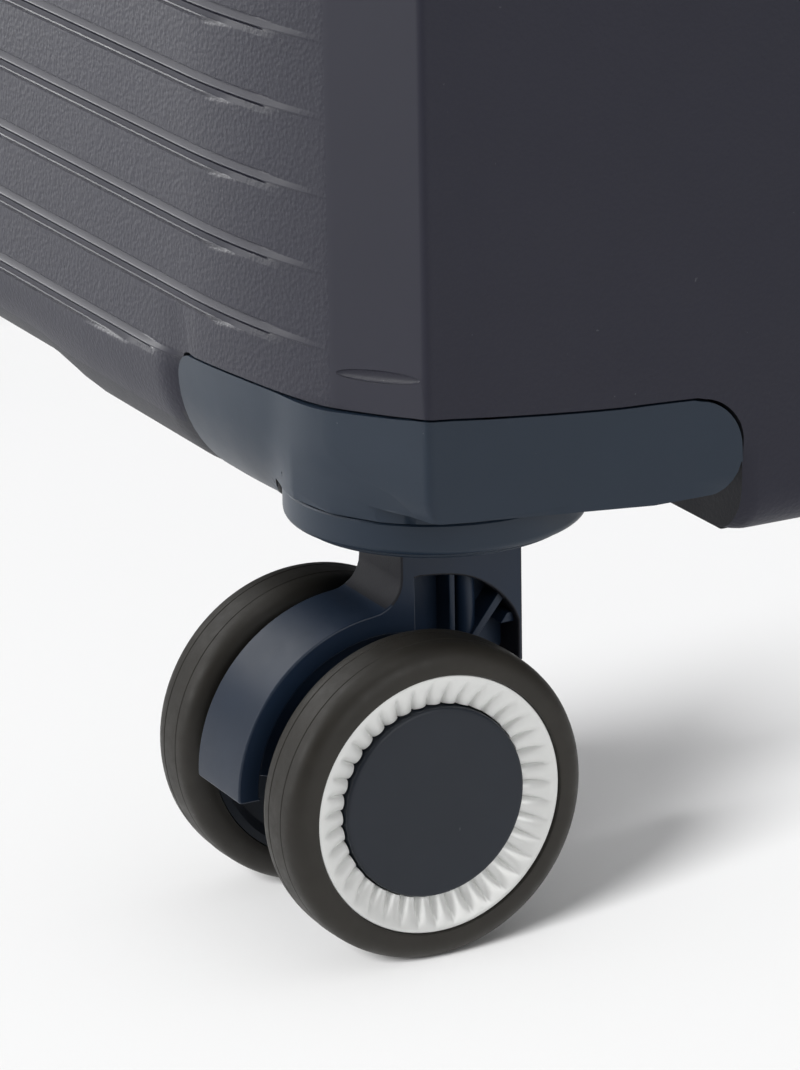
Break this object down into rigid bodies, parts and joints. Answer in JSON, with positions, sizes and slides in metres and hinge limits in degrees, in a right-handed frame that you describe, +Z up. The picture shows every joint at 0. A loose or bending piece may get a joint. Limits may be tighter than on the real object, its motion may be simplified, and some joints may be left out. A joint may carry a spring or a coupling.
{
  "type": "hard shell suitcase",
  "caption": "Cabin-size hard shell suitcase on twin-wheel swivel casters, with a zipper seam, trolley handle, carry handles and combination lock.",
  "frame": {"origin": "on the floor, under the middle of the case as it stands on its casters", "axes": "+Z up, -Y out of the front broad face, +X out of the zipper side that holds the lock"},
  "size_m": [0.3846, 0.2464, 0.5415],
  "materials": {
    "shell_plastic": "navy polypropylene with a fine moulded grain",
    "caster_plastic": "slate blue satin moulding",
    "fork_plastic": "dark blue satin moulding",
    "tyre_rubber": "black matt rubber",
    "wheel_plastic": "silver-white satin trim ring round a navy cap",
    "axle_steel": "plain",
    "tube_aluminium": "satin anodised",
    "dark_plastic": "satin",
    "dial_plastic": "fine grip lines",
    "zip_metal": "satin dark plating",
    "zip_tape": "woven zipper tape",
    "lining_fabric": "plain woven polyester",
    "webbing": "elastic webbing"
  },
  "bodies": {
    "root": {"rear_shell": "shell_plastic", "rear_lining": "lining_fabric", "rear_zip_tape": "zip_tape", "hinge_gusset": "zip_tape", "packing_strap_left": "webbing", "packing_strap_right": "webbing", "lock_body": "dark_plastic", "top_handle_pan": "dark_plastic", "side_handle_pan": "dark_plastic", "trolley_bezel": "dark_plastic", "trolley_foot_bracket": "dark_plastic", "trolley_outer_tube_left": "tube_aluminium", "trolley_outer_tube_right": "tube_aluminium", "caster_housing_rear_right": "caster_plastic", "caster_housing_rear_left": "caster_plastic"},
    "lid": {"front_shell": "shell_plastic", "front_lining": "lining_fabric", "front_zip_tape": "zip_tape", "caster_housing_front_right": "caster_plastic", "caster_housing_front_left": "caster_plastic"},
    "zip_slider_lower": {"zip_slider_lower": "zip_metal"},
    "zip_pull_lower": {"zip_pull_lower": "zip_metal"},
    "zip_slider_upper": {"zip_slider_upper": "zip_metal"},
    "zip_pull_upper": {"zip_pull_upper": "zip_metal"},
    "lock_dial_1": {"lock_dial_1": "dial_plastic"},
    "lock_dial_2": {"lock_dial_2": "dial_plastic"},
    "lock_dial_3": {"lock_dial_3": "dial_plastic"},
    "lock_release": {"lock_release": "axle_steel"},
    "top_handle_grip": {"top_handle_grip": "dark_plastic"},
    "side_handle_grip": {"side_handle_grip": "dark_plastic"},
    "trolley_middle_stage": {"trolley_middle_tube_left": "tube_aluminium", "trolley_middle_tube_right": "tube_aluminium"},
    "trolley_inner_stage": {"trolley_inner_tube_left": "tube_aluminium", "trolley_inner_tube_right": "tube_aluminium", "trolley_grip": "dark_plastic"},
    "trolley_button": {"trolley_button": "axle_steel"},
    "swivel_front_right": {"caster_fork_front_right": "fork_plastic", "caster_axle_front_right": "axle_steel"},
    "wheel_front_right_outer": {"wheel_tyre_front_right_outer": "tyre_rubber", "wheel_hub_front_right_outer": "wheel_plastic"},
    "wheel_front_right_inner": {"wheel_tyre_front_right_inner": "tyre_rubber", "wheel_hub_front_right_inner": "wheel_plastic"},
    "swivel_front_left": {"caster_fork_front_left": "fork_plastic", "caster_axle_front_left": "axle_steel"},
    "wheel_front_left_outer": {"wheel_tyre_front_left_outer": "tyre_rubber", "wheel_hub_front_left_outer": "wheel_plastic"},
    "wheel_front_left_inner": {"wheel_tyre_front_left_inner": "tyre_rubber", "wheel_hub_front_left_inner": "wheel_plastic"},
    "swivel_rear_right": {"caster_fork_rear_right": "fork_plastic", "caster_axle_rear_right": "axle_steel"},
    "wheel_rear_right_outer": {"wheel_tyre_rear_right_outer": "tyre_rubber", "wheel_hub_rear_right_outer": "wheel_plastic"},
    "wheel_rear_right_inner": {"wheel_tyre_rear_right_inner": "tyre_rubber", "wheel_hub_rear_right_inner": "wheel_plastic"},
    "swivel_rear_left": {"caster_fork_rear_left": "fork_plastic", "caster_axle_rear_left": "axle_steel"},
    "wheel_rear_left_outer": {"wheel_tyre_rear_left_outer": "tyre_rubber", "wheel_hub_rear_left_outer": "wheel_plastic"},
    "wheel_rear_left_inner": {"wheel_tyre_rear_left_inner": "tyre_rubber", "wheel_hub_rear_left_inner": "wheel_plastic"}
  },
  "joints": [
    {"name": "swivel_front_right", "type": "hinge", "parent": "lid", "child": "swivel_front_right", "pos_m": [0.1636, -0.0854, 0.06], "axis": [0, 0, 1], "continuous": true},
    {"name": "spin_front_right_outer", "type": "hinge", "parent": "swivel_front_right", "child": "wheel_front_right_outer", "pos_m": [0.1815, -0.0978, 0.025], "axis": [1, 0, 0], "continuous": true},
    {"name": "spin_front_right_inner", "type": "hinge", "parent": "swivel_front_right", "child": "wheel_front_right_inner", "pos_m": [0.1457, -0.0978, 0.025], "axis": [1, 0, 0], "continuous": true},
    {"name": "swivel_front_left", "type": "hinge", "parent": "lid", "child": "swivel_front_left", "pos_m": [-0.1636, -0.0854, 0.06], "axis": [0, 0, 1], "continuous": true},
    {"name": "spin_front_left_outer", "type": "hinge", "parent": "swivel_front_left", "child": "wheel_front_left_outer", "pos_m": [-0.1815, -0.0978, 0.025], "axis": [1, 0, 0], "continuous": true},
    {"name": "spin_front_left_inner", "type": "hinge", "parent": "swivel_front_left", "child": "wheel_front_left_inner", "pos_m": [-0.1457, -0.0978, 0.025], "axis": [1, 0, 0], "continuous": true},
    {"name": "swivel_rear_right", "type": "hinge", "parent": "root", "child": "swivel_rear_right", "pos_m": [0.1636, 0.0854, 0.06], "axis": [0, 0, 1], "continuous": true},
    {"name": "spin_rear_right_outer", "type": "hinge", "parent": "swivel_rear_right", "child": "wheel_rear_right_outer", "pos_m": [0.1815, 0.0978, 0.025], "axis": [1, 0, 0], "continuous": true},
    {"name": "spin_rear_right_inner", "type": "hinge", "parent": "swivel_rear_right", "child": "wheel_rear_right_inner", "pos_m": [0.1457, 0.0978, 0.025], "axis": [1, 0, 0], "continuous": true},
    {"name": "swivel_rear_left", "type": "hinge", "parent": "root", "child": "swivel_rear_left", "pos_m": [-0.1636, 0.0854, 0.06], "axis": [0, 0, 1], "continuous": true},
    {"name": "spin_rear_left_outer", "type": "hinge", "parent": "swivel_rear_left", "child": "wheel_rear_left_outer", "pos_m": [-0.1815, 0.0978, 0.025], "axis": [1, 0, 0], "continuous": true},
    {"name": "spin_rear_left_inner", "type": "hinge", "parent": "swivel_rear_left", "child": "wheel_rear_left_inner", "pos_m": [-0.1457, 0.0978, 0.025], "axis": [1, 0, 0], "continuous": true},
    {"name": "lid_hinge", "type": "hinge", "parent": "root", "child": "lid", "pos_m": [-0.1915, 0, 0.3], "axis": [0, 0, -1], "range_deg": [0, 180], "deforming": ["hinge_gusset"]},
    {"name": "trolley_lower_slide", "type": "slide", "parent": "root", "child": "trolley_middle_stage", "axis": [0, 0, 1], "range_m": [0, 0.23]},
    {"name": "trolley_upper_slide", "type": "slide", "parent": "trolley_middle_stage", "child": "trolley_inner_stage", "axis": [0, 0, 1], "range_m": [0, 0.23]},
    {"name": "trolley_button_press", "type": "slide", "parent": "trolley_inner_stage", "child": "trolley_button", "axis": [0, 0, -1], "range_m": [0, 0.0035], "stiffness_N_per_m": 400},
    {"name": "top_handle_pull", "type": "slide", "parent": "root", "child": "top_handle_grip", "axis": [0, 0, 1], "range_m": [0, 0.012], "stiffness_N_per_m": 300},
    {"name": "side_handle_pull", "type": "slide", "parent": "root", "child": "side_handle_grip", "axis": [1, 0, 0], "range_m": [0, 0.012], "stiffness_N_per_m": 300},
    {"name": "lock_release_slide", "type": "slide", "parent": "root", "child": "lock_release", "axis": [0, 0, 1], "range_m": [0, 0.005], "stiffness_N_per_m": 200},
    {"name": "lock_dial_1_turn", "type": "hinge", "parent": "root", "child": "lock_dial_1", "pos_m": [0.1873, 0.0276, 0.314], "axis": [0, 0, 1], "continuous": true},
    {"name": "lock_dial_2_turn", "type": "hinge", "parent": "root", "child": "lock_dial_2", "pos_m": [0.1873, 0.0276, 0.322], "axis": [0, 0, 1], "continuous": true},
    {"name": "lock_dial_3_turn", "type": "hinge", "parent": "root", "child": "lock_dial_3", "pos_m": [0.1873, 0.0276, 0.33], "axis": [0, 0, 1], "continuous": true},
    {"name": "zip_run_lower", "type": "slide", "parent": "root", "child": "zip_slider_lower", "axis": [0, 0, -1], "range_m": [0, 0.19]},
    {"name": "zip_pull_swing_lower", "type": "hinge", "parent": "zip_slider_lower", "child": "zip_pull_lower", "pos_m": [0.19175, -0.003, 0.288], "axis": [0, 0, -1], "range_deg": [0, 170]},
    {"name": "zip_run_upper", "type": "slide", "parent": "root", "child": "zip_slider_upper", "axis": [0, 0, 1], "range_m": [0, 0.19]},
    {"name": "zip_pull_swing_upper", "type": "hinge", "parent": "zip_slider_upper", "child": "zip_pull_upper", "pos_m": [0.19175, -0.003, 0.312], "axis": [0, 0, -1], "range_deg": [0, 170]}
  ]
}
